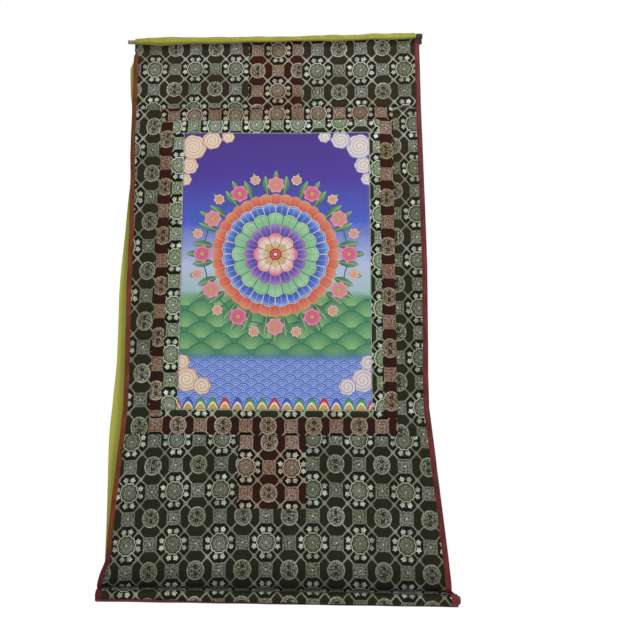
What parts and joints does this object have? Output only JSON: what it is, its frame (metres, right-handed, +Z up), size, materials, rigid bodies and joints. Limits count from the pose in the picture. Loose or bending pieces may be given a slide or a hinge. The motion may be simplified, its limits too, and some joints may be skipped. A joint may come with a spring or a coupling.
{
  "type": "thangka scroll painting with top rod and bottom roller",
  "caption": "Painted cloth sewn in an olive and red brocade mount, hung from a slim top rod, with a roller in its lower sleeve and a silk veil thrown to the back.",
  "frame": {"origin": "middle of the top rod, where the scroll hangs", "axes": "+X to the viewer's right, -Y the painted side, +Z up"},
  "size_m": [0.5185, 0.027, 0.9054],
  "materials": {
    "painted_cloth": "smooth painted cotton in violet, blue and green, matt with thin gold lines",
    "olive_brocade": "dark olive satin brocade with a pale grey-green lattice woven in",
    "red_brocade": "dark red satin brocade with a pale pink-buff lattice woven in",
    "orange_red_binding": "orange-red silk, soft sheen",
    "crimson_binding": "crimson silk, soft sheen",
    "maroon_strip": "maroon silk, soft sheen",
    "veil_silk": "thin yellow-green silk with a soft sheen",
    "rod_wood": "bare grey-buff wood",
    "roller_wood": "dark stained wood"
  },
  "bodies": {
    "root": {"painting": "painted_cloth", "inner_strip_top": "olive_brocade", "inner_strip_left": "olive_brocade", "inner_strip_right": "olive_brocade", "inner_strip_bottom": "olive_brocade", "outer_strip_left": "olive_brocade", "outer_strip_right": "olive_brocade", "top_panel_left": "olive_brocade", "top_panel_right": "olive_brocade", "bottom_panel": "olive_brocade", "red_strip_top": "red_brocade", "red_strip_left": "red_brocade", "red_strip_right": "red_brocade", "red_strip_bottom": "red_brocade", "top_door": "red_brocade", "bottom_door": "red_brocade", "binding_left": "orange_red_binding", "binding_right": "crimson_binding", "under_strip": "maroon_strip", "veil": "veil_silk", "top_rod": "rod_wood", "bottom_roller": "roller_wood"}
  },
  "joints": []
}
